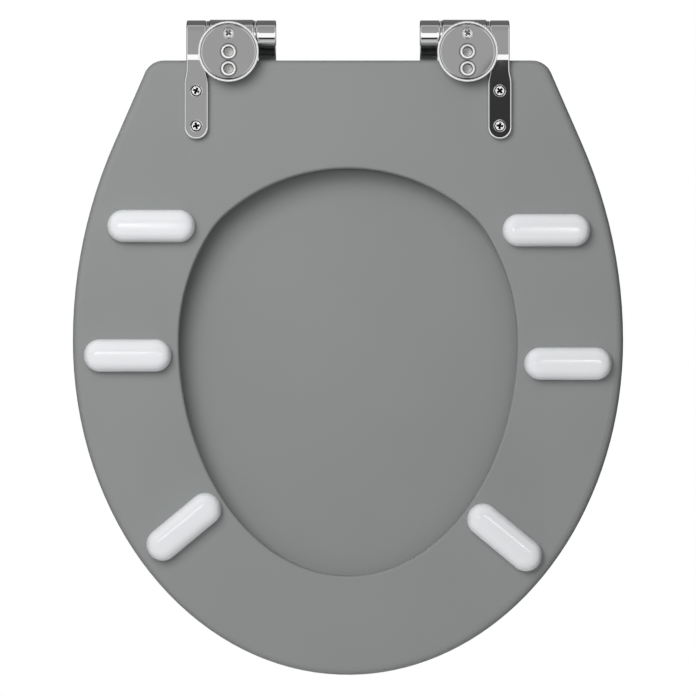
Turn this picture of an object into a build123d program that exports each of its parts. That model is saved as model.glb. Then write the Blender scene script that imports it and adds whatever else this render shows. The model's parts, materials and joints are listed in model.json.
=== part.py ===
from build123d import *
import os
from math import cos, radians, sin, tan

# Toilet seat with lid: a painted board ring and lid carried by two cast slow-close hinges.
# Millimetres. +Z is up, the front of the seat points to -Y, and the origin lies midway between
# the two rear bolt threads, on the plane of the bowl that the bumpers and base discs rest on.

# Outline of ring and lid
seat_width = 370.4
widest_line = 193.4       # bolt line to the widest line
front_reach = 225.0       # widest line to the front tip
rear_edge = 4.9           # bolt line to the rear edge
side_radius = 331.0
side_sweep = 23.6         # degrees of side arc before the straight flank
corner_radius = 14.0

# Opening in the ring
opening_width = 227.6
opening_front = 158.4     # widest line to the opening's front
opening_rear = 116.0      # widest line to the opening's rear
shoulder_radius = 59.0
opening_side_sweep = 32.0
shoulder_sweep = 17.7

# Board thicknesses and edge rounds
ring_thickness = 17.0
ring_under_round = 5.5
ring_top_round = 6.0
opening_under_round = 1.6
lid_thickness = 16.0
lid_under_round = 2.5
lid_top_round = 8.0

# Ring bumpers
bumper_length = 59.2
bumper_width = 22.0
bumper_height = 10.5
bumper_round = 6.8
bumper_peg_offsets = (-14.0, 14.0)
bumper_stations = {       # bearing, stagger between the two sides, inset from the band's middle, turn
    "rear": (29.65, 0.55, 3.75, 0.0),
    "middle": (-4.93, 1.06, 1.35, 0.0),
    "front": (-50.05, 1.45, 2.4, -39.6),
}

# Lid buffers
buffer_radius = 6.5
buffer_height = 3.7       # also the gap between ring and lid
buffer_round = 1.2
buffer_bearings = {"side": 0.0, "front": -58.0}

# Moulded pegs of bumpers and buffers
peg_radius = 2.5
peg_length = 6.0

# Hinge axis and barrel
hinge_spacing = 160.0
axis_back = 13.0          # bolt line to hinge axis
axis_height = 14.0
knuckle_radius = 9.0
housing_radius = 9.4
housing_length = 30.0
housing_reach = 13.2      # disc centre to the housing's outer end
collar_length = 1.8
collar_radius = 8.6
washer_length = 1.2
washer_radius = 8.8
knuckle_gap = 0.2
ring_knuckle_length = 13.2
lid_knuckle_length = 13.6
barrel_round = 1.0
foot_radius = 6.6

# Cartridges and shafts inside the barrel
socket_radius = 6.6
socket_depth = 10.0
shaft_radius = 4.0
shaft_flats = 6.0
shaft_seat = 8.5          # length of shaft inside its cartridge
shaft_reach = 9.0         # length of flattened shaft inside its knuckle
end_play = 0.3
running_clearance = 0.05
seating_clearance = 0.03

# Leaves
ring_leaf_thickness = 4.5
lid_leaf_thickness = 3.0
leaf_width = 15.9
leaf_end = 58.3           # bolt line to the leaf's tip
flare_start = 10.0        # bolt line to where the neck begins to widen
flare_length = 12.0
lid_neck_inner = 6.4      # leaf's middle to the neck's inner side
lid_neck_outer = 5.6      # leaf's middle to the neck's side next to the disc
step_foot = 2.1           # bolt line to the foot of the ring leaf's step
neck_rear_angle = 45.0    # where the neck's rear leaves the barrel, degrees above straight back
neck_front_angle = 165.0  # where the neck's front leaves the barrel
neck_front = 1.0          # bolt line to where the neck's front meets the lid leaf
neck_bend = 5.0
leaf_corner = 2.0
leaf_round = 1.0

# Leaf screws
leaf_screw_lines = (25.9, 49.4)   # bolt line to each screw
leaf_screw_radius = 1.9
leaf_screw_length = 14.0
leaf_screw_head = 3.7
leaf_screw_tip = 3.0
sink_radius = 4.2

# Base disc
disc_radius = 20.2
disc_height = 4.5
disc_top_round = 1.2
rim_width = 1.3
rim_round = 0.45
cup_depth = 2.4
cup_floor_radius = 17.7
boss_radius = 5.4
boss_height = 8.0
boss_round = 1.2
thread_radius = 3.4
thread_depth = 6.8
front_thread = 11.4       # bolt line to the second thread
disc_screw_back = 12.4    # bolt line to the disc screw
disc_screw_radius = 2.5
disc_screw_head = 4.1
disc_screw_head_height = 1.9
disc_screw_round = 0.9
disc_screw_depth = 7.5    # length of thread inside the housing

# Cross recess of every screw
recess_width = 1.1
recess_span = 4.6
recess_depth = 1.6

# Levels and places that follow from the sizes above
half_width = seat_width / 2
hinge_x = hinge_spacing / 2
ring_under = bumper_height
ring_top = ring_under + ring_thickness
lid_under = ring_top + buffer_height
heart = Vector(0, -widest_line)
housing_outer = hinge_x + housing_reach
housing_inner = housing_outer - housing_length
ring_side_gap = collar_length + knuckle_gap
lid_side_gap = washer_length + knuckle_gap
ring_leaf_x = housing_outer + ring_side_gap + ring_knuckle_length / 2
lid_leaf_x = housing_inner - lid_side_gap - lid_knuckle_length / 2
ring_leaf_under = ring_under - ring_leaf_thickness
lid_leaf_under = lid_under - lid_leaf_thickness
axis_point = Vector(axis_back, axis_height)
ring_side = Pos(housing_outer, axis_back, axis_height)
lid_side = Pos(housing_inner, axis_back, axis_height) * Rot(0, 0, 180)
overrun = 1.0             # length that cutting shapes run past a face
ray_width = 0.5           # width of the strip that finds the middle of the ring's band
SIDES = {"right": 1, "left": -1}


# Basic shapes
def upright(radius, bottom, top):
    """Upright round bar between two levels."""
    return Pos(0, 0, bottom) * Cylinder(radius, top - bottom, align=(Align.CENTER, Align.CENTER, Align.MIN))


def barrel(radius, start, end):
    """Round bar lying along X between two places."""
    return Rot(0, 90, 0) * upright(radius, start, end)


def turned(*points):
    """Solid turned about Z from radius and height points; both ends of the list lie on the axis."""
    return revolve(Plane.XZ * make_face(Polyline(*points, close=True)), Axis.Z)


def cross_recess(depth):
    """Cross-shaped cutter that opens downwards at level zero."""
    slot = Pos(0, 0, -overrun) * Box(
        recess_span, recess_width, depth + overrun, align=(Align.CENTER, Align.CENTER, Align.MIN)
    )
    return slot + Rot(0, 0, 90) * slot


def both_sides(points):
    """Right-hand plan points and their mirror images."""
    return [(sign * x, y) for sign in SIDES.values() for x, y in points]


def leaf_screw_points(leaf_x):
    """Plan places of a right-hand leaf's screws."""
    return [(leaf_x, -line) for line in leaf_screw_lines]


# Board outlines
def seat_outline():
    """Half-ellipse front, side arcs, straight flanks and a straight rear edge with round corners."""
    front = EllipticalCenterArc(heart, half_width, front_reach, 180, arc_size=180)
    side = CenterArc(heart + Vector(half_width - side_radius, 0), side_radius, 0, side_sweep)
    flank_start = side @ 1
    flank_run = -rear_edge - flank_start.Y
    corner = Vector(flank_start.X - flank_run * tan(radians(side_sweep)), -rear_edge)
    flank = Line(flank_start, corner)
    rear = Line(corner, (-corner.X, corner.Y))
    mirrored = [edge.mirror(Plane.YZ) for edge in (side, flank)]
    outline = make_face([front, side, flank, rear, *mirrored])
    return fillet(outline.vertices().group_by(Axis.Y)[-1], corner_radius)


def opening_outline():
    """Half-ellipse front, then side, shoulder and rear arcs that meet tangentially.

    The side and rear radii are the two that close the outline at its width and length.
    """
    side_end = radians(opening_side_sweep)
    shoulder_end = radians(opening_side_sweep + shoulder_sweep)
    across = opening_width / 2 - shoulder_radius * (cos(side_end) - cos(shoulder_end))
    along = opening_rear - shoulder_radius * (sin(shoulder_end) - sin(side_end))
    side_share = Vector(1 - cos(side_end), sin(side_end))
    rear_share = Vector(cos(shoulder_end), 1 - sin(shoulder_end))
    scale = side_share.X * rear_share.Y - rear_share.X * side_share.Y
    side_arc = (across * rear_share.Y - rear_share.X * along) / scale
    rear_arc = (side_share.X * along - across * side_share.Y) / scale
    front = EllipticalCenterArc(heart, opening_width / 2, opening_front, 180, arc_size=180)
    side = CenterArc(heart + Vector(opening_width / 2 - side_arc, 0), side_arc, 0, opening_side_sweep)
    shoulder_centre = (side @ 1) - Vector(cos(side_end), sin(side_end)) * shoulder_radius
    shoulder = CenterArc(shoulder_centre, shoulder_radius, opening_side_sweep, shoulder_sweep)
    rear_start = opening_side_sweep + shoulder_sweep
    rear = CenterArc(heart + Vector(0, opening_rear - rear_arc), rear_arc, rear_start, 180 - 2 * rear_start)
    mirrored = [edge.mirror(Plane.YZ) for edge in (side, shoulder)]
    return make_face([front, side, shoulder, rear, *mirrored])


lid_face = seat_outline()
ring_face = lid_face - opening_outline()


def band_middle(bearing):
    """Middle of the ring's band along a ray from the heart of the seat, rearward bearings positive."""
    ray = Pos(heart) * Rot(0, 0, bearing) * Pos(half_width, 0) * Rectangle(seat_width, ray_width)
    return (ring_face & ray).face().center()


def bumper_places():
    """Location of each ring bumper on the ring's underside, by name."""
    places = {}
    for side, sign in SIDES.items():
        for station, (bearing, stagger, inset, turn) in bumper_stations.items():
            middle = band_middle(bearing + sign * stagger)
            middle -= (middle - heart).normalized() * inset
            place = Pos(sign * middle.X, middle.Y, ring_under) * Rot(0, 0, sign * turn)
            places[f"{side}_{station}_bumper"] = place
    return places


def buffer_places():
    """Location of each lid buffer on the lid's underside, by name."""
    places = {}
    for side, sign in SIDES.items():
        for station, bearing in buffer_bearings.items():
            middle = band_middle(bearing)
            places[f"{side}_{station}_buffer"] = Pos(sign * middle.X, middle.Y, lid_under)
    return places


# Boards
def peg_hole():
    """Blind hole for a moulded peg, open at level zero."""
    return upright(peg_radius + seating_clearance, -overrun, peg_length + end_play)


def screw_holes(leaf_x, leaf_thickness, level):
    """Blind pilot holes for the screws of both leaves that meet a board's underside at this level."""
    depth = leaf_screw_length - leaf_thickness + overrun
    hole = upright(leaf_screw_radius + seating_clearance, -overrun, depth)
    return [Pos(x, y, level) * hole for x, y in both_sides(leaf_screw_points(leaf_x))]


def seat_ring():
    """Board ring with rounded edges and blind holes for bumper pegs and leaf screws."""
    board = extrude(Pos(0, 0, ring_under) * ring_face, ring_thickness)
    board = fillet(board.faces().sort_by(Axis.Z)[-1].edges(), ring_top_round)
    board = fillet(board.faces().sort_by(Axis.Z)[0].outer_wire().edges(), ring_under_round)
    board = fillet(board.faces().sort_by(Axis.Z)[0].inner_wires()[0].edges(), opening_under_round)
    for place in bumper_places().values():
        board -= [place * Pos(offset, 0) * peg_hole() for offset in bumper_peg_offsets]
    return board - screw_holes(ring_leaf_x, ring_leaf_thickness, ring_under)


def lid():
    """Board with the ring's outline, a large round on top and blind holes underneath."""
    board = extrude(Pos(0, 0, lid_under) * lid_face, lid_thickness)
    board = fillet(board.faces().sort_by(Axis.Z)[-1].edges(), lid_top_round)
    board = fillet(board.faces().sort_by(Axis.Z)[0].edges(), lid_under_round)
    board -= [place * peg_hole() for place in buffer_places().values()]
    return board - screw_holes(lid_leaf_x, lid_leaf_thickness, lid_under)


# Bumpers and buffers
def bumper():
    """Pill-shaped pad hanging from level zero, with two pegs standing above it."""
    pad = extrude(SlotOverall(bumper_length, bumper_width), -bumper_height)
    pad = fillet(pad.faces().sort_by(Axis.Z)[0].edges(), bumper_round)
    return pad + [Pos(offset, 0) * upright(peg_radius, 0, peg_length) for offset in bumper_peg_offsets]


def buffer():
    """Round button hanging from level zero, with one peg standing above it."""
    button = upright(buffer_radius, -buffer_height, 0)
    button = fillet(button.edges().sort_by(Axis.Z)[0], buffer_round)
    return button + upright(peg_radius, 0, peg_length)


# Base disc and its screw
def base_disc():
    """Shallow cup, rim down, with two blind threaded bosses and a hole for the disc screw."""
    cup = turned(
        (0, cup_depth),
        (cup_floor_radius, cup_depth),
        (disc_radius - rim_width, 0),
        (disc_radius, 0),
        (disc_radius, disc_height),
        (0, disc_height),
    )
    cup = fillet(cup.edges().group_by(Axis.Z)[-1], disc_top_round)
    cup = fillet(cup.edges().group_by(Axis.Z)[0], rim_round)
    boss = upright(boss_radius, 0, boss_height)
    boss = fillet(boss.edges().filter_by(GeomType.CIRCLE), boss_round)
    thread = upright(thread_radius, -overrun, thread_depth)
    thread_places = [Pos(0, 0), Pos(0, -front_thread)]
    cup += [place * boss for place in thread_places]
    cup -= [place * thread for place in thread_places]
    screw_hole = upright(disc_screw_radius + seating_clearance, 0, disc_height + overrun)
    return Pos(hinge_x, 0) * (cup - Pos(0, disc_screw_back) * screw_hole)


def disc_screw():
    """Pan-head screw that holds the disc to the housing, head inside the cup."""
    head_level = cup_depth - disc_screw_head_height
    head = upright(disc_screw_head, head_level, cup_depth)
    head = fillet(head.edges().sort_by(Axis.Z)[0], disc_screw_round)
    screw = head + upright(disc_screw_radius, cup_depth, disc_height + disc_screw_depth)
    return Pos(hinge_x, disc_screw_back) * (screw - Pos(0, 0, head_level) * cross_recess(recess_depth))


# Barrel
def housing():
    """Middle length of the barrel: a foot on the disc, a socket at each end and a solid web for the screw."""
    shell = barrel(housing_radius, 0, housing_length)
    shell = fillet(shell.edges().filter_by(GeomType.CIRCLE), barrel_round)
    shell = Pos(housing_inner, axis_back, axis_height) * shell
    shell += Pos(hinge_x, disc_screw_back) * upright(foot_radius, disc_height, axis_height)
    socket = barrel(socket_radius, -socket_depth, overrun)
    shell -= [ring_side * socket, lid_side * socket]
    screw_top = disc_height + disc_screw_depth + end_play
    screw_hole = upright(disc_screw_radius + seating_clearance, 0, screw_top)
    return shell - Pos(hinge_x, disc_screw_back) * screw_hole


def cartridge(bore_depth):
    """Plug that fills a housing socket, mouth at the origin, bored for a shaft."""
    plug = barrel(socket_radius - seating_clearance, -socket_depth, 0)
    return plug - barrel(shaft_radius + running_clearance, -bore_depth, overrun)


def damper():
    """Slow-close cartridge with a closed end."""
    return cartridge(shaft_seat + end_play)


def bush():
    """Plain cartridge, bored right through."""
    return cartridge(socket_depth + overrun)


def spacer(radius, length):
    """Thin ring round the shaft, between the housing's end and a knuckle."""
    return barrel(radius, 0, length) - barrel(shaft_radius + end_play, -overrun, length + overrun)


def shaft(gap, clearance=0.0):
    """Shaft from inside its cartridge to its knuckle, where two flats let it drive the leaf."""
    flats = Box(
        shaft_reach + clearance,
        shaft_flats + 2 * clearance,
        2 * (shaft_radius + clearance),
        align=(Align.MIN, Align.CENTER, Align.CENTER),
    )
    tongue = Pos(gap, 0, 0) * (flats & barrel(shaft_radius + clearance, 0, shaft_reach + clearance))
    return tongue + barrel(shaft_radius + clearance, -shaft_seat, gap)


# Leaves
def leaf_plan(inner, outer):
    """Plan of a leaf: straight neck of two half-widths, smooth flare, parallel leaf and a round tip."""
    half = leaf_width / 2
    rear = axis_back + knuckle_radius + overrun
    flare_middle = -flare_start - flare_length / 2
    flare_end = -flare_start - flare_length
    tip_centre = half - leaf_end
    edges = [CenterArc((0, tip_centre), half, 180, 180), Line((-inner, rear), (outer, rear))]
    for neck, side in ((-inner, -half), (outer, half)):
        edges += [
            Line((neck, rear), (neck, -flare_start)),
            Bezier((neck, -flare_start), (neck, flare_middle), (side, flare_middle), (side, flare_end)),
            Line((side, flare_end), (side, tip_centre)),
        ]
    return make_face(edges)


def cast_arm(profile, neck_inner, neck_outer):
    """Side profile carried across the leaf, trimmed to its plan, with the outer edges rounded."""
    slab = extrude(Plane.YZ * profile, leaf_width / 2, both=True)
    arm = slab & extrude(leaf_plan(neck_inner, neck_outer), lid_under + overrun)
    edges = arm.edges().filter_by(Axis.X, reverse=True).filter_by(Axis.Z, reverse=True)
    return fillet(edges, leaf_round)


def with_knuckle(profile, corner):
    """Leaf profile joined to the round of the knuckle, with the inside corner eased."""
    joined = profile + Pos(axis_point) * Circle(knuckle_radius)
    return fillet(joined.vertices().sort_by_distance(corner)[0], leaf_corner)


def ring_leaf_profile():
    """Flat under the knuckle, a short step up, then the leaf under the ring."""
    knuckle_under = axis_height - knuckle_radius
    foot = Vector(-step_foot, knuckle_under)
    head = Vector(-rear_edge, ring_leaf_under)
    plate = make_face(
        Polyline(
            (axis_back, knuckle_under),
            foot,
            head,
            (-leaf_end, ring_leaf_under),
            (-leaf_end, ring_under),
            (axis_back, ring_under),
            close=True,
        )
    )
    for corner in (foot, head):
        plate = fillet(plate.vertices().sort_by_distance(corner)[0], leaf_corner)
    drop = axis_height - ring_under
    reach = (knuckle_radius**2 - drop**2) ** 0.5
    return with_knuckle(plate, (axis_back - reach, ring_under))


def on_knuckle(angle):
    """Point on the knuckle's round, degrees from straight back."""
    return axis_point + Vector(cos(radians(angle)), sin(radians(angle))) * knuckle_radius


def lid_leaf_profile():
    """Neck that rises from the knuckle over the ring's rear edge, then the leaf under the lid."""
    rear_foot = on_knuckle(neck_rear_angle)
    rise = lid_under - rear_foot.Y
    rear_head = Vector(rear_foot.X - rise * tan(radians(neck_rear_angle)), lid_under)
    front_foot = on_knuckle(neck_front_angle)
    front_head = Vector(-neck_front, lid_leaf_under)
    plate = make_face(
        Polyline(
            rear_foot,
            rear_head,
            (-leaf_end, lid_under),
            (-leaf_end, lid_leaf_under),
            front_head,
            front_foot,
            axis_point,
            close=True,
        )
    )
    for corner in (rear_head, front_head):
        plate = fillet(plate.vertices().sort_by_distance(corner)[0], neck_bend)
    return with_knuckle(plate, front_foot)


def sink_holes(thickness):
    """Countersunk screw holes of a leaf whose underside is at level zero."""
    hole_radius = leaf_screw_radius + end_play
    hole = turned(
        (0, -overrun),
        (sink_radius + overrun, -overrun),
        (hole_radius, sink_radius - hole_radius),
        (hole_radius, thickness + overrun),
        (0, thickness + overrun),
    )
    return [Pos(x, y) * hole for x, y in leaf_screw_points(0)]


def ring_leaf():
    """Outer knuckle and screwed leaf under the ring, cast in one piece."""
    arm = cast_arm(ring_leaf_profile(), ring_knuckle_length / 2, ring_knuckle_length / 2)
    arm -= [Pos(0, 0, ring_leaf_under) * hole for hole in sink_holes(ring_leaf_thickness)]
    return Pos(ring_leaf_x, 0) * arm - ring_side * shaft(ring_side_gap, seating_clearance)


def lid_leaf():
    """Inner knuckle, neck and screwed leaf under the lid, cast in one piece."""
    arm = cast_arm(lid_leaf_profile(), lid_neck_inner, lid_neck_outer)
    knuckle = barrel(knuckle_radius, -lid_knuckle_length / 2, lid_knuckle_length / 2)
    knuckle = fillet(knuckle.edges().filter_by(GeomType.CIRCLE), barrel_round)
    arm += Pos(0, axis_back, axis_height) * knuckle
    arm -= [Pos(0, 0, lid_leaf_under) * hole for hole in sink_holes(lid_leaf_thickness)]
    return Pos(lid_leaf_x, 0) * arm - lid_side * shaft(lid_side_gap, seating_clearance)


def leaf_screws(leaf_x, leaf_under):
    """The two countersunk wood screws of a leaf, heads down and seated in their sinks."""
    screw = turned(
        (0, 0),
        (leaf_screw_head, 0),
        (leaf_screw_radius, leaf_screw_head - leaf_screw_radius),
        (leaf_screw_radius, leaf_screw_length - leaf_screw_tip),
        (0, leaf_screw_length),
    )
    screw -= cross_recess(recess_depth)
    level = leaf_under + sink_radius - leaf_screw_head - seating_clearance
    first, second = [Pos(x, y, level) * screw for x, y in leaf_screw_points(leaf_x)]
    return first + second


def right_hinge(damped):
    """Pieces of the right-hand hinge; the damped leaf turns with the damper's shaft, the other on a pin."""
    pieces = {
        "base_disc": base_disc(),
        "disc_screw": disc_screw(),
        "hinge_housing": housing(),
        "ring_collar": ring_side * spacer(collar_radius, collar_length),
        "lid_washer": lid_side * spacer(washer_radius, washer_length),
        "ring_leaf": ring_leaf(),
        "lid_leaf": lid_leaf(),
        "ring_leaf_screws": leaf_screws(ring_leaf_x, ring_leaf_under),
        "lid_leaf_screws": leaf_screws(lid_leaf_x, lid_leaf_under),
    }
    for board, place, gap in (("ring", ring_side, ring_side_gap), ("lid", lid_side, lid_side_gap)):
        if board == damped:
            pieces[f"{board}_damper"] = place * damper()
            pieces[f"{board}_damper_shaft"] = place * shaft(gap)
        else:
            pieces[f"{board}_bush"] = place * bush()
            pieces[f"{board}_pivot_pin"] = place * shaft(gap)
    return pieces


# All pieces by node name
nodes = {"seat_ring": seat_ring(), "lid": lid()}
nodes |= {name: place * bumper() for name, place in bumper_places().items()}
nodes |= {name: place * buffer() for name, place in buffer_places().items()}
nodes |= {f"right_{name}": piece for name, piece in right_hinge("ring").items()}
nodes |= {f"left_{name}": mirror(piece, Plane.YZ) for name, piece in right_hinge("lid").items()}

os.makedirs("parts", exist_ok=True)
for name, piece in nodes.items():
    export_step(piece, f"parts/{name}.step")
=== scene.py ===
import json
import math

import bmesh
import bpy
import numpy as np
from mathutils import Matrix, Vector


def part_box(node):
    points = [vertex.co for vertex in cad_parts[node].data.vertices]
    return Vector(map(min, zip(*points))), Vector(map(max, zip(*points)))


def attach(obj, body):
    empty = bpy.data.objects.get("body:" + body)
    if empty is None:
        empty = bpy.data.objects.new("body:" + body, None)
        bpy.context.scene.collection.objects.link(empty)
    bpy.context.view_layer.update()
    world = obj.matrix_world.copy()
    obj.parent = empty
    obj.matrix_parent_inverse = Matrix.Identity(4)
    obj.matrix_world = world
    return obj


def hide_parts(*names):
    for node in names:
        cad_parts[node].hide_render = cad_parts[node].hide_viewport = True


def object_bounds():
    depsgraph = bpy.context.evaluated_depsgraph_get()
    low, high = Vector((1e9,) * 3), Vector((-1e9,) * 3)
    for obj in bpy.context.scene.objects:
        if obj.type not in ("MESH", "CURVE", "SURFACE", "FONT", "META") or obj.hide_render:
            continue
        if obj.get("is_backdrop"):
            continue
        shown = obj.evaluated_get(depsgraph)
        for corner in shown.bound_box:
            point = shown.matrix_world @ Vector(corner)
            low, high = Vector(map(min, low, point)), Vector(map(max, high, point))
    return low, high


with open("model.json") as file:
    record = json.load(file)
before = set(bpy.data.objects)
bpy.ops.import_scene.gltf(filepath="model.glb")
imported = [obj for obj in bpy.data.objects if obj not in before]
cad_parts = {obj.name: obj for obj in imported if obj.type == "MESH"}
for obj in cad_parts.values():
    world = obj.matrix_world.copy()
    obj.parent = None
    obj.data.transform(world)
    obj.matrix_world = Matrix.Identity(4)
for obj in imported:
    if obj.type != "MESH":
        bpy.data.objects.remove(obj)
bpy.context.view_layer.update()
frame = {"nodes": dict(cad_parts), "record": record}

# Toilet seat seen from beneath: satin grey board, white bumpers and chromed cast hinges.
# Metres, +Z up, the front of the seat towards -Y, in the same frame as the solids.

nodes = frame["nodes"]
subparts = frame["record"]["subparts"]
MM = 0.001
SIDES = {"right": 1, "left": -1}

# Sizes shared with the solids
HINGE_X = 80.0 * MM
FRONT_THREAD = 11.4 * MM
THREAD_RADIUS = 3.4 * MM
THREAD_DEPTH = 6.8 * MM
RING_UNDER = 10.5 * MM
BUMPER_LENGTH = 59.2 * MM
BUMPER_WIDTH = 22.0 * MM
BUMPER_HEIGHT = 10.5 * MM
BUMPER_TURNS = {"rear": 0.0, "middle": 0.0, "front": -39.6}
PEG_SPREAD = 14.0 * MM
PEG_RADIUS = 2.5 * MM
PEG_LENGTH = 6.0 * MM
LEAF_SCREW_HEAD = 3.7 * MM
LEAF_SCREW_RADIUS = 1.9 * MM
LEAF_SCREW_LENGTH = 14.0 * MM
LEAF_SCREW_TIP = 3.0 * MM
DISC_SCREW_HEAD = 4.1 * MM
DISC_SCREW_RADIUS = 2.5 * MM
DISC_SCREW_LENGTH = 11.5 * MM
DISC_SCREW_HEAD_HEIGHT = 1.9 * MM

# Detail that the solids leave out; a recess is its depth, its span and the width of its arms
BUMPER_POWER = 3.0
LEAF_SCREW_BEVEL = 0.72 * MM
LEAF_SCREW_EDGE = 0.3 * MM
LEAF_SCREW_RECESS = (1.5 * MM, 4.3 * MM, 1.2 * MM)
LEAF_SCREW_ROOT = 1.45 * MM
LEAF_SCREW_PITCH = 1.6 * MM
DISC_SCREW_RECESS = (1.3 * MM, 4.2 * MM, 1.1 * MM)
DISC_SCREW_ROOT = 2.05 * MM
DISC_SCREW_PITCH = 0.8 * MM
# Share of the painted shade in the disc screw's recess
DISC_RECESS_SHADE = 0.8
BOLT_PITCH = 1.25 * MM
BOLT_RIDGE = 0.36 * MM
BOLT_MARGIN = 0.8 * MM

# Turns of the rear leaf screws, the front leaf screws and the disc screw, as they were left
SCREW_TURNS = {"right": (24.0, -12.0, 40.0), "left": (-40.0, 8.0, 36.0)}

# Zones on the base discs, by distance from a bolt axis and from the disc's middle: satin faces whose pale
# colour is a painted highlight, and painted shade in the bores and at the feet of bosses and rim
BOSS_MOUTH = 3.5 * MM
BOSS_FACE = 4.7 * MM
BOSS_FOOT = 5.8 * MM
RIM_FOOT = 18.1 * MM
RIM_EDGE = 19.0 * MM
ZONE_EASE = 0.1 * MM
CORNER_SHADE_LEVEL = 0.3
FACE_HIGHLIGHT_LEVEL = 0.95
FACE_ROUGHNESS = 0.3
FACE_METALLIC = 0.55

# Mesh counts and the angles, in degrees, past which edges stay sharp
SCREW_SEGMENTS = 144
LEAF_SCREW_RINGS = 38
DISC_SCREW_RINGS = 42
PEG_SEGMENTS = 32
BOLT_RIDGE_POINTS = 260
HOLE_SEGMENTS = 64
HOLE_RINGS = 12
SCREW_SHARP = 32.0
THREAD_SHARP = 30.0
MERGE = 1e-6
SLIVER = 1e-7

# The photograph's view
PHOTO_FIELD = 467.4 * MM
PHOTO_CENTRE_Y = -198.4 * MM
CAMERA_DISTANCE = 2.5
SENSOR = 36.0


# Surfaces
def in_scene(name, data):
    """New object in the scene."""
    made = bpy.data.objects.new(name, data)
    bpy.context.scene.collection.objects.link(made)
    return made


def quads(rows, columns):
    """Corner numbers of the quads between neighbouring rows of a grid whose last column meets its first."""
    across = np.arange(columns)
    down = np.arange(rows - 1)[:, None]
    here = down * columns + across
    beside = down * columns + (across + 1) % columns
    return np.stack([here, beside, beside + columns, here + columns], axis=-1).reshape(-1, 4)


def piece_from_grids(name, grids, body, sharp_degrees=40.0, shades=None):
    """Mesh made of closed grids of points, with its faces turned outwards.

    Rows that shrink to a point or a line are merged.
    shades gives each grid point a number from 0 to 1, kept as the mesh's attribute named shade.
    """
    corners, faces, start = [], [], 0
    for grid in grids:
        rows, columns = grid.shape[:2]
        corners.append(grid.reshape(-1, 3))
        faces.append(quads(rows, columns) + start)
        start += rows * columns
    mesh = bpy.data.meshes.new(name)
    mesh.from_pydata(np.concatenate(corners).tolist(), [], np.concatenate(faces).tolist())
    if shades is not None:
        values = np.concatenate([shade.ravel() for shade in shades]).astype(np.float32)
        mesh.attributes.new("shade", "FLOAT", "POINT").data.foreach_set("value", values)
    shape = bmesh.new()
    shape.from_mesh(mesh)
    bmesh.ops.remove_doubles(shape, verts=shape.verts, dist=MERGE)
    bmesh.ops.dissolve_degenerate(shape, edges=shape.edges, dist=SLIVER)
    bmesh.ops.recalc_face_normals(shape, faces=shape.faces)
    shape.to_mesh(mesh)
    shape.free()
    mesh.shade_smooth()
    mesh.set_sharp_from_angle(angle=math.radians(sharp_degrees))
    piece = in_scene(name, mesh)
    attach(piece, body)
    return piece


def around(radius, angle, height):
    """Points about the Z axis: x = r cos a, y = r sin a, z = height."""
    return np.stack(np.broadcast_arrays(radius * np.cos(angle), radius * np.sin(angle), height), axis=-1)


def lathe(profile, segments):
    """Profile of radius and height points turned about Z."""
    angle = np.linspace(0.0, 2 * math.pi, segments, endpoint=False)
    radius, height = np.asarray(profile, float).T
    return around(radius[:, None], angle, height[:, None])


def smooth(value, low, high):
    """Smooth step from 0 at low to 1 at high: 3 t squared - 2 t cubed."""
    t = np.clip((value - low) / (high - low), 0.0, 1.0)
    return t * t * (3 - 2 * t)


def cross_depth(x, y, depth, span, width):
    """Cross recess: two arms that widen and grow shallower outwards; the deeper of the two counts."""
    ease, widening, rise = 0.12 * MM, 0.25, 0.45

    def arm(along, across):
        """One arm as a share of the depth, with eased walls and ends."""
        half = width / 2 * (1.0 + widening * np.abs(along) / span)
        wall = 1.0 - smooth(np.abs(across), half - ease, half + ease)
        end = 1.0 - smooth(np.abs(along), span / 2 - 2 * ease, span / 2 + ease)
        return wall * end * (1.0 - rise * np.abs(along) / span)

    return depth * np.maximum(arm(x, y), arm(y, x))


def screw_top(face, flank, recess, turn):
    """Recessed head face from its centre out, then the flank; also the painted shade, 1 down in the recess.

    face and flank are lists of radius and height points, heights growing away from the head's face.
    """
    profile = np.array(face + flank)
    grid = lathe(profile, SCREW_SEGMENTS)
    spin = math.radians(turn)
    x = grid[..., 0] * math.cos(spin) + grid[..., 1] * math.sin(spin)
    y = grid[..., 1] * math.cos(spin) - grid[..., 0] * math.sin(spin)
    on_face = (np.arange(len(profile)) < len(face))[:, None]
    sunk = np.where(on_face, cross_depth(x, y, *recess), 0.0)
    grid[..., 2] += sunk
    shade_start, shade_full = 0.1, 0.4
    return grid, smooth(sunk / recess[0], shade_start, shade_full)


def threaded_flank(start, end, radius, root, pitch):
    """Helical thread: the radius goes from root to crest and back as a triangle wave.

    The wave's phase is the height over the pitch minus the angle over a full turn.
    """
    rows_a_pitch, fewest = 10, 8
    height = np.linspace(start, end, max(fewest, int((end - start) / pitch * rows_a_pitch)))
    angle = np.linspace(0.0, 2 * math.pi, SCREW_SEGMENTS, endpoint=False)
    phase = (height[:, None] / pitch - angle / (2 * math.pi)) % 1.0
    return around(root + (radius - root) * np.abs(2 * phase - 1), angle, height[:, None])


def with_shank(top, shade, shank, tip):
    """Head, shank and a last row that shrinks to the tip; everything below the head is unshaded."""
    point = np.zeros((1, SCREW_SEGMENTS, 3))
    point[..., 2] = tip
    grid = np.concatenate([top, shank, point])
    below = np.zeros((len(grid) - len(top), SCREW_SEGMENTS))
    return grid, np.concatenate([shade, below])


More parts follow.
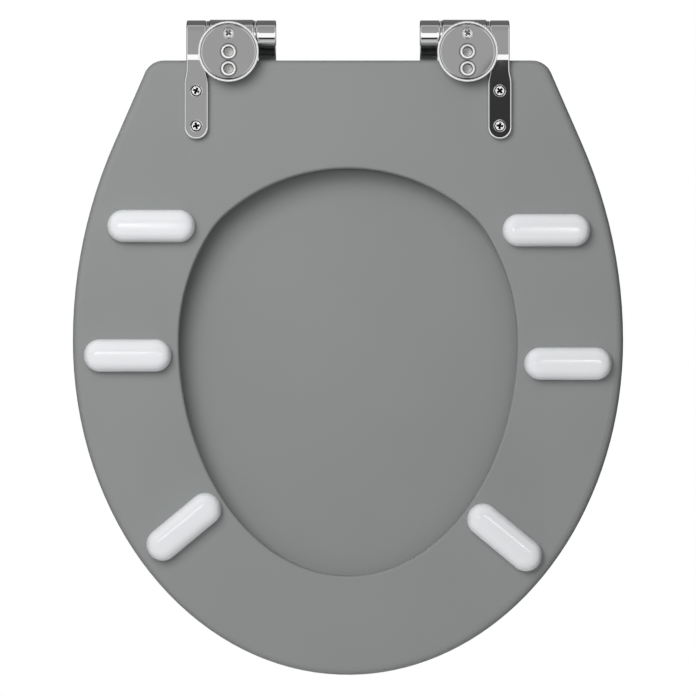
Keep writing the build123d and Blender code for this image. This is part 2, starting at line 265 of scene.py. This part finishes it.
def leaf_screw(turn):
    """Countersunk wood screw: flat recessed head, a bevel darkened by painted shade, 45 degree cone,
    threaded shank and point.
    """
    head, radius, edge = LEAF_SCREW_HEAD, LEAF_SCREW_RADIUS, LEAF_SCREW_EDGE
    inner, cone = head - LEAF_SCREW_BEVEL, head - radius
    lip, drop, gap = 0.03 * MM, 0.02 * MM, 0.4 * MM
    face = [(r, 0.0) for r in np.linspace(0.0, inner, LEAF_SCREW_RINGS)]
    flank = [(inner + lip, drop), (head, edge), (radius, cone + edge)]
    top, shade = screw_top(face, flank, LEAF_SCREW_RECESS, turn)
    # Painted shadow: the bevel and the cone below it darkened in full, a dark line round the head
    shade[len(face):] = 1.0
    shank_end = LEAF_SCREW_LENGTH - LEAF_SCREW_TIP
    shank = threaded_flank(cone + gap, shank_end, radius, LEAF_SCREW_ROOT, LEAF_SCREW_PITCH)
    return with_shank(top, shade, shank, LEAF_SCREW_LENGTH)


def disc_screw(turn):
    """Pan-head screw: domed recessed face, flat seat and threaded shank.

    The face falls by three quarters of the head's height times the fourth power of its share of the radius.
    """
    head, height, radius = DISC_SCREW_HEAD, DISC_SCREW_HEAD_HEIGHT, DISC_SCREW_RADIUS
    fall, lip, gap = 0.75, 0.02 * MM, 0.1 * MM
    rings = np.linspace(0.0, head - lip, DISC_SCREW_RINGS)
    face = [(r, height * fall * (r / head) ** 4) for r in rings]
    flank = [(head, height), (radius, height)]
    top, shade = screw_top(face, flank, DISC_SCREW_RECESS, turn)
    shank = threaded_flank(height + gap, DISC_SCREW_LENGTH, radius, DISC_SCREW_ROOT, DISC_SCREW_PITCH)
    return with_shank(top, DISC_RECESS_SHADE * shade, shank, DISC_SCREW_LENGTH)


def pill(length, width, height, power):
    """Half pill hanging below level zero: a super-ellipse section carried round a stadium.

    A point lies at distance d from the stadium's middle segment and hangs by h (1 - (2d/w)^p)^(1/p).
    """
    half, run = width / 2, (length - width) / 2
    end_columns, rows = 40, 30
    bend = np.linspace(-math.pi / 2, math.pi / 2, end_columns)
    ends_x = np.concatenate([np.cos(bend), -np.cos(bend)])
    ends_y = np.concatenate([np.sin(bend), -np.sin(bend)])
    middle_x = np.repeat([run, -run], end_columns)
    climb = np.linspace(0.0, math.pi / 2, rows)
    distance = half * np.sin(climb) ** (2 / power)
    hang = height * np.cos(climb) ** (2 / power)
    x = middle_x + distance[:, None] * ends_x
    y = distance[:, None] * ends_y
    z = np.broadcast_to(-hang[:, None], x.shape)
    crown = np.stack([x, y, z], axis=-1)
    level = np.zeros(2 * end_columns)
    back = np.stack([middle_x, level, level], axis=-1)[None]
    return np.concatenate([crown, back])


def bumper(turn):
    """Soft pill with two pegs standing above it, turned about Z."""
    outline = [(0.0, PEG_LENGTH), (PEG_RADIUS, PEG_LENGTH), (PEG_RADIUS, 0.0), (0.0, 0.0)]
    peg = lathe(outline, PEG_SEGMENTS)
    grids = [pill(BUMPER_LENGTH, BUMPER_WIDTH, BUMPER_HEIGHT, BUMPER_POWER)]
    grids += [peg + np.array([offset, 0.0, 0.0]) for offset in (-PEG_SPREAD, PEG_SPREAD)]
    cosine, sine = math.cos(math.radians(turn)), math.sin(math.radians(turn))
    plane = np.array([[cosine, sine, 0], [-sine, cosine, 0], [0, 0, 1]])
    return [grid @ plane for grid in grids]


def bolt_thread():
    """Helical ridge of triangular section lining a bolt hole, fading out at both ends."""
    run_out, breadth, sunk = 0.6, 0.8, 0.02 * MM
    turns = np.linspace(0.0, (THREAD_DEPTH - 2 * BOLT_MARGIN) / BOLT_PITCH, BOLT_RIDGE_POINTS)
    fade = smooth(turns, 0.0, run_out) * (1 - smooth(turns, turns[-1] - run_out, turns[-1]))
    section_r = np.array([0.0, -1.0, 0.0])
    section_z = np.array([-0.5, 0.0, 0.5])
    radius = THREAD_RADIUS + (sunk + BOLT_RIDGE * section_r) * fade[:, None]
    height = BOLT_MARGIN + turns[:, None] * BOLT_PITCH + section_z * BOLT_PITCH * breadth * fade[:, None]
    return around(radius, turns[:, None] * 2 * math.pi, height)


def thread_end():
    """Blind end of a bolt hole: a shallow cone that is deepest on the axis, with a flat back."""
    wall, back = THREAD_RADIUS - 0.04 * MM, THREAD_DEPTH - 0.02 * MM
    web, slope = 0.1 * MM, 1.2 * MM
    cone = [(r, back - web - slope * r / wall) for r in np.linspace(0.0, wall, HOLE_RINGS)]
    return lathe(cone + [(wall, back), (0.0, back)], HOLE_SEGMENTS)


# Node helpers
MIX_SOCKETS = {"RGBA": (0, 6, 7, 2), "FLOAT": (0, 2, 3, 0)}


def grey(level):
    """Opaque grey of a level."""
    return (level, level, level, 1.0)


def feed(tree, socket, value):
    """Another node's output linked to a socket, or a number or colour set on it."""
    if isinstance(value, bpy.types.NodeSocket):
        tree.links.new(value, socket)
    else:
        socket.default_value = value


def calc(tree, operation, *values):
    """Math node fed by numbers and other nodes' outputs."""
    node = tree.nodes.new("ShaderNodeMath")
    node.operation = operation
    for socket, value in zip(node.inputs, values):
        feed(tree, socket, value)
    return node.outputs[0]


def spread(tree, value, start, end, low=0.0, high=1.0, curve="LINEAR"):
    """Value brought from between start and end to between low and high, and held there outside."""
    node = tree.nodes.new("ShaderNodeMapRange")
    node.interpolation_type = curve
    feed(tree, node.inputs["Value"], value)
    feed(tree, node.inputs["From Min"], start)
    feed(tree, node.inputs["From Max"], end)
    feed(tree, node.inputs["To Min"], low)
    feed(tree, node.inputs["To Max"], high)
    return node.outputs["Result"]


def mix(tree, kind, share, first, second):
    """Two colours or numbers mixed by the second one's share."""
    node = tree.nodes.new("ShaderNodeMix")
    node.data_type = kind
    share_at, first_at, second_at, out_at = MIX_SOCKETS[kind]
    feed(tree, node.inputs[share_at], share)
    feed(tree, node.inputs[first_at], first)
    feed(tree, node.inputs[second_at], second)
    return node.outputs[out_at]


def mix_shaders(tree, share, first, second):
    """Two shaders mixed by the second one's share."""
    node = tree.nodes.new("ShaderNodeMixShader")
    for socket, value in zip(node.inputs, (share, first, second)):
        feed(tree, socket, value)
    return node.outputs[0]


def coordinates(tree, kind):
    """Texture coordinates of a kind."""
    return tree.nodes.new("ShaderNodeTexCoord").outputs[kind]


def distance_from(tree, place, point):
    """Distance of a place from a fixed point."""
    node = tree.nodes.new("ShaderNodeVectorMath")
    node.operation = "DISTANCE"
    feed(tree, node.inputs[0], place)
    feed(tree, node.inputs[1], point)
    return node.outputs["Value"]


# Materials
def material(name):
    """Node material, its tree and its shader."""
    made = bpy.data.materials.new(name)
    made.use_nodes = True
    return made, made.node_tree, made.node_tree.nodes["Principled BSDF"]


def noise_material(name, colour, mottle, rough, peel, shaded=None, **sockets):
    """Colour with soft mottling, roughness between two values and a fine bump, all on Object coordinates.

    mottle is (scale, share of the colour), rough is (scale, low, high), peel is (scale, strength, depth).
    shaded is the colour of painted shade, used where the mesh's shade attribute is 1, such as down in a
    screw's recess.
    """
    made, tree, shader = material(name)
    place = coordinates(tree, "Object")

    def noise(scale, detail):
        """Noise over the piece."""
        node = tree.nodes.new("ShaderNodeTexNoise")
        feed(tree, node.inputs["Scale"], scale)
        feed(tree, node.inputs["Detail"], detail)
        feed(tree, node.inputs["Vector"], place)
        return node.outputs["Fac"]

    def grain(scale, detail, low, high):
        """Noise stretched from its usual range to between two values."""
        return spread(tree, noise(scale, detail), 0.3, 0.7, low, high)

    scale, share = mottle
    darker = (*[c * (1 - share) for c in colour], 1.0)
    lighter = (*[min(1.0, c * (1 + share)) for c in colour], 1.0)
    surface = mix(tree, "RGBA", grain(scale, 3.0, 0.0, 1.0), darker, lighter)
    if shaded is not None:
        shade = tree.nodes.new("ShaderNodeAttribute")
        shade.attribute_name = "shade"
        surface = mix(tree, "RGBA", shade.outputs["Fac"], surface, grey(shaded))
    feed(tree, shader.inputs["Base Color"], surface)
    scale, low, high = rough
    feed(tree, shader.inputs["Roughness"], grain(scale, 2.0, low, high))
    scale, strength, depth = peel
    bump = tree.nodes.new("ShaderNodeBump")
    feed(tree, bump.inputs["Strength"], strength)
    feed(tree, bump.inputs["Distance"], depth)
    feed(tree, bump.inputs["Height"], noise(scale, 2.0))
    feed(tree, shader.inputs["Normal"], bump.outputs["Normal"])
    for key, value in sockets.items():
        feed(tree, shader.inputs[key], value)
    return made


def chrome_with_painted_light(chrome):
    """Copy of the chrome for the base discs: pale satin boss faces and rims, their paleness a painted
    highlight, and painted shade in the bores and at the feet of bosses and rim.

    All are set by distance in Object coordinates, from the nearest bolt axis and from the disc's middle.
    """
    made = chrome.copy()
    made.name = "disc_chrome"
    tree = made.node_tree
    shader = tree.nodes["Principled BSDF"]
    flat = tree.nodes.new("ShaderNodeVectorMath")
    flat.operation = "MULTIPLY"
    feed(tree, flat.inputs[0], coordinates(tree, "Object"))
    feed(tree, flat.inputs[1], (1.0, 1.0, 0.0))

    def reach(back):
        """Distance to the nearer of the two hinges' upright axes, at a length in front of the bolt line."""
        place = flat.outputs["Vector"]
        points = [(sign * HINGE_X, -back, 0.0) for sign in SIDES.values()]
        return calc(tree, "MINIMUM", *[distance_from(tree, place, point) for point in points])

    def past(length, edge):
        """0 short of an edge and 1 past it."""
        return spread(tree, length, edge - ZONE_EASE, edge + ZONE_EASE)

    def blend(key, kind, share, value):
        """Shader's socket moved towards a value by a share."""
        socket = shader.inputs[key]
        before = socket.links[0].from_socket if socket.is_linked else socket.default_value
        feed(tree, socket, mix(tree, kind, share, before, value))

    from_middle = reach(0.0)
    from_bolt = calc(tree, "MINIMUM", from_middle, reach(FRONT_THREAD))
    boss = calc(tree, "SUBTRACT", past(from_bolt, BOSS_MOUTH), past(from_bolt, BOSS_FACE))
    satin_and_highlight_faces = calc(tree, "ADD", boss, past(from_middle, RIM_EDGE))
    bore_and_boss_foot_shade = calc(tree, "SUBTRACT", 1.0, past(from_bolt, BOSS_FOOT))
    painted_corner_shade = calc(tree, "ADD", bore_and_boss_foot_shade, past(from_middle, RIM_FOOT))
    # Painted shade: a darker base in the bores and round the feet of the bosses and the rim
    blend("Base Color", "RGBA", painted_corner_shade, grey(CORNER_SHADE_LEVEL))
    # Satin finish on the faces in roughness and metallic; their pale base colour is a painted highlight
    blend("Base Color", "RGBA", satin_and_highlight_faces, grey(FACE_HIGHLIGHT_LEVEL))
    blend("Roughness", "FLOAT", satin_and_highlight_faces, FACE_ROUGHNESS)
    blend("Metallic", "FLOAT", satin_and_highlight_faces, FACE_METALLIC)
    return made


satin_grey = noise_material(
    "satin_grey_paint", (0.250, 0.260, 0.258), (9.0, 0.02), (400.0, 0.40, 0.48), (750.0, 0.05, 0.00005),
    **{"Specular IOR Level": 0.2},
)
soft_white = noise_material(
    "soft_white_plastic", (0.75, 0.76, 0.78), (30.0, 0.01), (60.0, 0.13, 0.16), (150.0, 0.005, 0.00003),
)
cast_chrome = noise_material(
    "cast_chrome", (0.80, 0.80, 0.805), (40.0, 0.015), (150.0, 0.012, 0.025), (90.0, 0.006, 0.00003),
    Metallic=1.0,
)
disc_chrome = chrome_with_painted_light(cast_chrome)
# Screw steel, darkened with painted shade where a screw's shade attribute is 1
plated_steel = noise_material(
    "plated_steel", (0.74, 0.74, 0.73), (500.0, 0.04), (700.0, 0.34, 0.42), (1200.0, 0.04, 0.00003),
    shaded=0.008, Metallic=1.0,
)
# Bare casting, with painted shade on the walls of the bolt threads
bare_casting = noise_material(
    "bare_casting", (0.80, 0.80, 0.79), (400.0, 0.05), (700.0, 0.45, 0.55), (1200.0, 0.06, 0.00003),
    shaded=0.12, Metallic=0.3,
)
turned_steel = noise_material(
    "turned_steel", (0.60, 0.60, 0.60), (300.0, 0.05), (500.0, 0.2, 0.32), (900.0, 0.05, 0.00003),
    Metallic=1.0,
)
dark_moulding = noise_material(
    "dark_moulded_plastic", (0.03, 0.03, 0.032), (60.0, 0.1), (500.0, 0.4, 0.5), (1100.0, 0.06, 0.00004),
)
finishes = {
    "painted_board": satin_grey,
    "white_plastic": soft_white,
    "cast_chrome": cast_chrome,
    "screw_steel": plated_steel,
    "pin_steel": turned_steel,
    "dark_plastic": dark_moulding,
}


def paint(piece, finish):
    """The piece takes one material all over."""
    piece.data.materials.clear()
    piece.data.materials.append(finish)


for subpart in subparts:
    paint(nodes[subpart["node"]], finishes[subpart["material_slot"]])
for side in SIDES:
    paint(nodes[f"{side}_base_disc"], disc_chrome)

# Bumpers
for side, sign in SIDES.items():
    for station, turn in BUMPER_TURNS.items():
        node = f"{side}_{station}_bumper"
        low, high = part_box(node)
        middle = np.array([(low.x + high.x) / 2, (low.y + high.y) / 2, RING_UNDER])
        grids = [grid + middle for grid in bumper(sign * turn)]
        pad = piece_from_grids(f"{node}_pad", grids, "ring_body")
        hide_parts(node)
        paint(pad, soft_white)

# Screws
for side, (rear_turn, front_turn, disc_turn) in SCREW_TURNS.items():
    for board in ("ring", "lid"):
        node = f"{side}_{board}_leaf_screws"
        low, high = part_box(node)
        middle_x = (low.x + high.x) / 2
        rear, rear_shade = leaf_screw(rear_turn)
        front, front_shade = leaf_screw(front_turn)
        rear += np.array([middle_x, high.y - LEAF_SCREW_HEAD, low.z])
        front += np.array([middle_x, low.y + LEAF_SCREW_HEAD, low.z])
        shades = [rear_shade, front_shade]
        pair = piece_from_grids(
            f"{node}_pair", [rear, front], f"{board}_body", SCREW_SHARP, shades
        )
        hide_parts(node)
        paint(pair, plated_steel)
    node = f"{side}_disc_screw"
    low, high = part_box(node)
    screw, shade = disc_screw(disc_turn)
    screw += np.array([(low.x + high.x) / 2, (low.y + high.y) / 2, low.z])
    pan = piece_from_grids(f"{node}_pan", [screw], "hinge_bases", SCREW_SHARP, [shade])
    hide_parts(node)
    paint(pan, plated_steel)

# Bolt threads, their walls darkened with painted shade, leaving the ends of their holes lighter
for side, sign in SIDES.items():
    for place, back in (("rear", 0.0), ("front", FRONT_THREAD)):
        name = f"{side}_{place}_bolt_thread"
        axis = np.array([sign * HINGE_X, -back, 0.0])
        ridge, end = bolt_thread() + axis, thread_end() + axis
        shades = [np.ones(ridge.shape[:2]), np.zeros(end.shape[:2])]
        thread = piece_from_grids(name, [ridge, end], "hinge_bases", THREAD_SHARP, shades)
        paint(thread, bare_casting)


# Stage
def floor():
    """Pale floor under the seat, with a level of its own far from it.

    From beneath it lets the view and the light through.
    """
    half, near, far = 6.0, 0.3, 2.5
    mesh = bpy.data.meshes.new("floor")
    corners = [(-half, -half, 0), (half, -half, 0), (half, half, 0), (-half, half, 0)]
    mesh.from_pydata(corners, [], [(0, 1, 2, 3)])
    made = in_scene("floor", mesh)
    pale, tree, shader = material("pale_floor")
    feed(tree, shader.inputs["Base Color"], grey(0.86))
    feed(tree, shader.inputs["Roughness"], 0.8)
    level = tree.nodes.new("ShaderNodeEmission")
    feed(tree, level.inputs["Strength"], 0.82)
    away = distance_from(tree, coordinates(tree, "Object"), (0.0, PHOTO_CENTRE_Y, 0.0))
    level_share = spread(tree, away, near, far, 0.0, 0.8, "SMOOTHSTEP")
    above = mix_shaders(tree, level_share, shader.outputs[0], level.outputs[0])
    clear = tree.nodes.new("ShaderNodeBsdfTransparent").outputs[0]
    from_beneath = tree.nodes.new("ShaderNodeNewGeometry").outputs["Backfacing"]
    surface = mix_shaders(tree, from_beneath, above, clear)
    feed(tree, tree.nodes["Material Output"].inputs["Surface"], surface)
    paint(made, pale)
    made.visible_diffuse = False
    made.visible_glossy = False
    made.visible_transmission = False
    made.visible_shadow = False
    made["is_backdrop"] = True


floor()

# Lamps: place, size and power, all facing the seat's middle
SEAT_MIDDLE = (0.0, -0.2, 0.02)
LAMPS = {
    "under_key": ((0.58, 0.47, -1.30), (0.95, 0.95), 18.4),
    "front_edge": ((0.0, -2.2, -0.15), (0.5, 0.5), 14.0),
    "over_key": ((1.2, -2.2, 4.6), (2.5, 2.5), 170.0),
    "over_fill": ((-2.0, 1.0, 4.5), (2.5, 2.5), 80.0),
}
STRIP_X = 0.59
STRIP_Z = -3.2
STRIP_SIZE = (0.62, 0.12)
STRIP_POWER = 3.6


def softbox(name, place, target, size, power, reflected=False):
    """Rectangular lamp at a place, facing a target; reflected lamps show as highlights on glossy pieces."""
    lamp = bpy.data.lights.new(name, "AREA")
    lamp.shape = "RECTANGLE"
    lamp.size, lamp.size_y = size
    lamp.energy = power
    made = in_scene(name, lamp)
    made.location = place
    aim = Vector(target) - Vector(place)
    made.rotation_euler = aim.to_track_quat("-Z", "Y").to_euler()
    made.visible_camera = False
    made.visible_glossy = reflected
    return made


for name, (place, size, power) in LAMPS.items():
    softbox(name, place, SEAT_MIDDLE, size, power)

# Strips for the bumpers' crowns, straight below their rows; the castings don't catch them
castings = bpy.data.collections.new("castings")
for subpart in subparts:
    if subpart["material_slot"] == "cast_chrome":
        castings.objects.link(nodes[subpart["node"]])
for casting in castings.collection_objects:
    casting.light_linking.link_state = "EXCLUDE"
for side, sign in SIDES.items():
    place = (sign * STRIP_X, 0.0, STRIP_Z)
    target = (sign * STRIP_X, 0.0, 0.0)
    strip = softbox(f"{side}_crown_strip", place, target, STRIP_SIZE, STRIP_POWER, reflected=True)
    strip.light_linking.receiver_collection = castings

# Dome: level, slopes along X and Y, fall with x squared, lowest level and the share above the horizon
DOME_LEVEL = 0.46
DOME_SLOPE_X = 0.06
DOME_SLOPE_Y = 0.18
DOME_FALL = -0.38
DOME_LOWEST = 0.04
DOME_ABOVE = 0.2

# Cards: level at each angle round the X axis, and the levels of the cards beside them
CARD_STOPS = [
    (0.0, 0.85), (0.06, 0.5), (0.12, 0.16), (0.29, 0.14), (0.305, 0.5), (0.325, 0.5), (0.345, 0.34),
    (0.494, 0.40), (0.503, 1.2), (0.60, 1.2), (0.612, 0.03), (0.645, 0.03), (0.66, 0.5), (0.71, 0.7),
    (0.76, 0.30), (0.86, 0.55), (1.0, 0.85),
]
HIGH_SIDE_CARD = 0.05
LOW_SIDE_CARD = 1.0
DARK_CARD = 0.04
DARK_CARD_SLANT = (-0.838, -0.549, -0.0845)


def studio_world():
    """White to the camera, a soft dome for matt surfaces, and cards for what reflects.

    The dome's level is a + b x + c y + d x squared of the direction, lower above the horizon.
    The cards are a ramp over the angle round the X axis, 0 straight up, a quarter at the rear horizon,
    a half straight down and three quarters at the front horizon. At both sides there are dark cards high up
    and pale cards low down, and one dark card stands beside the camera.
    """
    world = bpy.data.worlds.new("studio")
    bpy.context.scene.world = world
    world.use_nodes = True
    tree = world.node_tree
    tree.nodes.clear()

    def times(*factors):
        """Product of all the factors."""
        product = factors[0]
        for factor in factors[1:]:
            product = calc(tree, "MULTIPLY", product, factor)
        return product

    def plus(value, factor, rest):
        """Value times a factor, plus the rest."""
        return calc(tree, "MULTIPLY_ADD", value, factor, rest)

    def ease(value, low, high):
        """Smooth step from 0 at low to 1 at high."""
        return spread(tree, value, low, high, curve="SMOOTHSTEP")

    def toward(level, goal, share):
        """Level moved towards a goal by a share."""
        return plus(share, calc(tree, "SUBTRACT", goal, level), level)

    def background(level):
        """White background at a level."""
        node = tree.nodes.new("ShaderNodeBackground")
        feed(tree, node.inputs["Color"], grey(1.0))
        feed(tree, node.inputs["Strength"], level)
        return node.outputs[0]

    split = tree.nodes.new("ShaderNodeSeparateXYZ")
    feed(tree, split.inputs[0], coordinates(tree, "Generated"))
    x, y, z = split.outputs
    down = times(z, -1.0)

    # Dome for matt surfaces
    dome = plus(x, DOME_SLOPE_X, plus(y, DOME_SLOPE_Y, DOME_LEVEL))
    dome = calc(tree, "MAXIMUM", plus(times(x, x), DOME_FALL, dome), DOME_LOWEST)
    dome = times(dome, toward(1.0, DOME_ABOVE, ease(z, -0.6, 0.0)))

    # Cards for what reflects
    angle = calc(tree, "ARCTAN2", times(y, -1.0), down)
    ramp_node = tree.nodes.new("ShaderNodeValToRGB")
    feed(tree, ramp_node.inputs[0], plus(angle, 0.5 / math.pi, 0.5))
    ramp = ramp_node.color_ramp.elements
    while len(ramp) < len(CARD_STOPS):
        ramp.new(0.5)
    for element, (at, level) in zip(ramp, CARD_STOPS):
        element.position = at
        element.color = grey(level)
    aside = ease(calc(tree, "ABSOLUTE", x), 0.25, 0.60)
    cards = toward(ramp_node.outputs[0], HIGH_SIDE_CARD, times(aside, ease(z, -0.2, 0.0)))
    cards = toward(cards, LOW_SIDE_CARD, times(aside, ease(down, 0.1, 0.4)))

    # Dark card, placed by where a level mirror shows it in the photograph's view
    reach = calc(tree, "DIVIDE", CAMERA_DISTANCE, calc(tree, "MAXIMUM", down, 0.01))
    seen_x = times(x, reach)
    seen_y = plus(y, reach, PHOTO_CENTRE_Y)
    slant_x, slant_y, offset = DARK_CARD_SLANT
    slant = plus(seen_x, slant_x, plus(seen_y, slant_y, offset))
    dark = times(
        ease(slant, -0.001, 0.001),
        ease(times(seen_y, -1.0), 0.003, 0.004),
        ease(seen_x, -0.155, -0.135),
        ease(seen_y, -0.095, -0.075),
        ease(down, 0.8, 0.9),
    )
    cards = toward(cards, DARK_CARD, dark)

    path = tree.nodes.new("ShaderNodeLightPath")
    unseen = mix_shaders(tree, path.outputs["Is Glossy Ray"], background(dome), background(cards))
    surface = mix_shaders(tree, path.outputs["Is Camera Ray"], unseen, background(1.0))
    feed(tree, tree.nodes.new("ShaderNodeOutputWorld").inputs["Surface"], surface)


studio_world()

lens = bpy.data.cameras.new("photo_view")
lens.sensor_width = SENSOR
lens.lens = SENSOR * CAMERA_DISTANCE / PHOTO_FIELD
camera = in_scene("photo_view", lens)
camera.location = (0.0, PHOTO_CENTRE_Y, RING_UNDER - CAMERA_DISTANCE)
camera.rotation_euler = (0.0, math.pi, 0.0)
bpy.context.scene.camera = camera
bpy.context.scene.view_settings.view_transform = "Standard"

low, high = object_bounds()
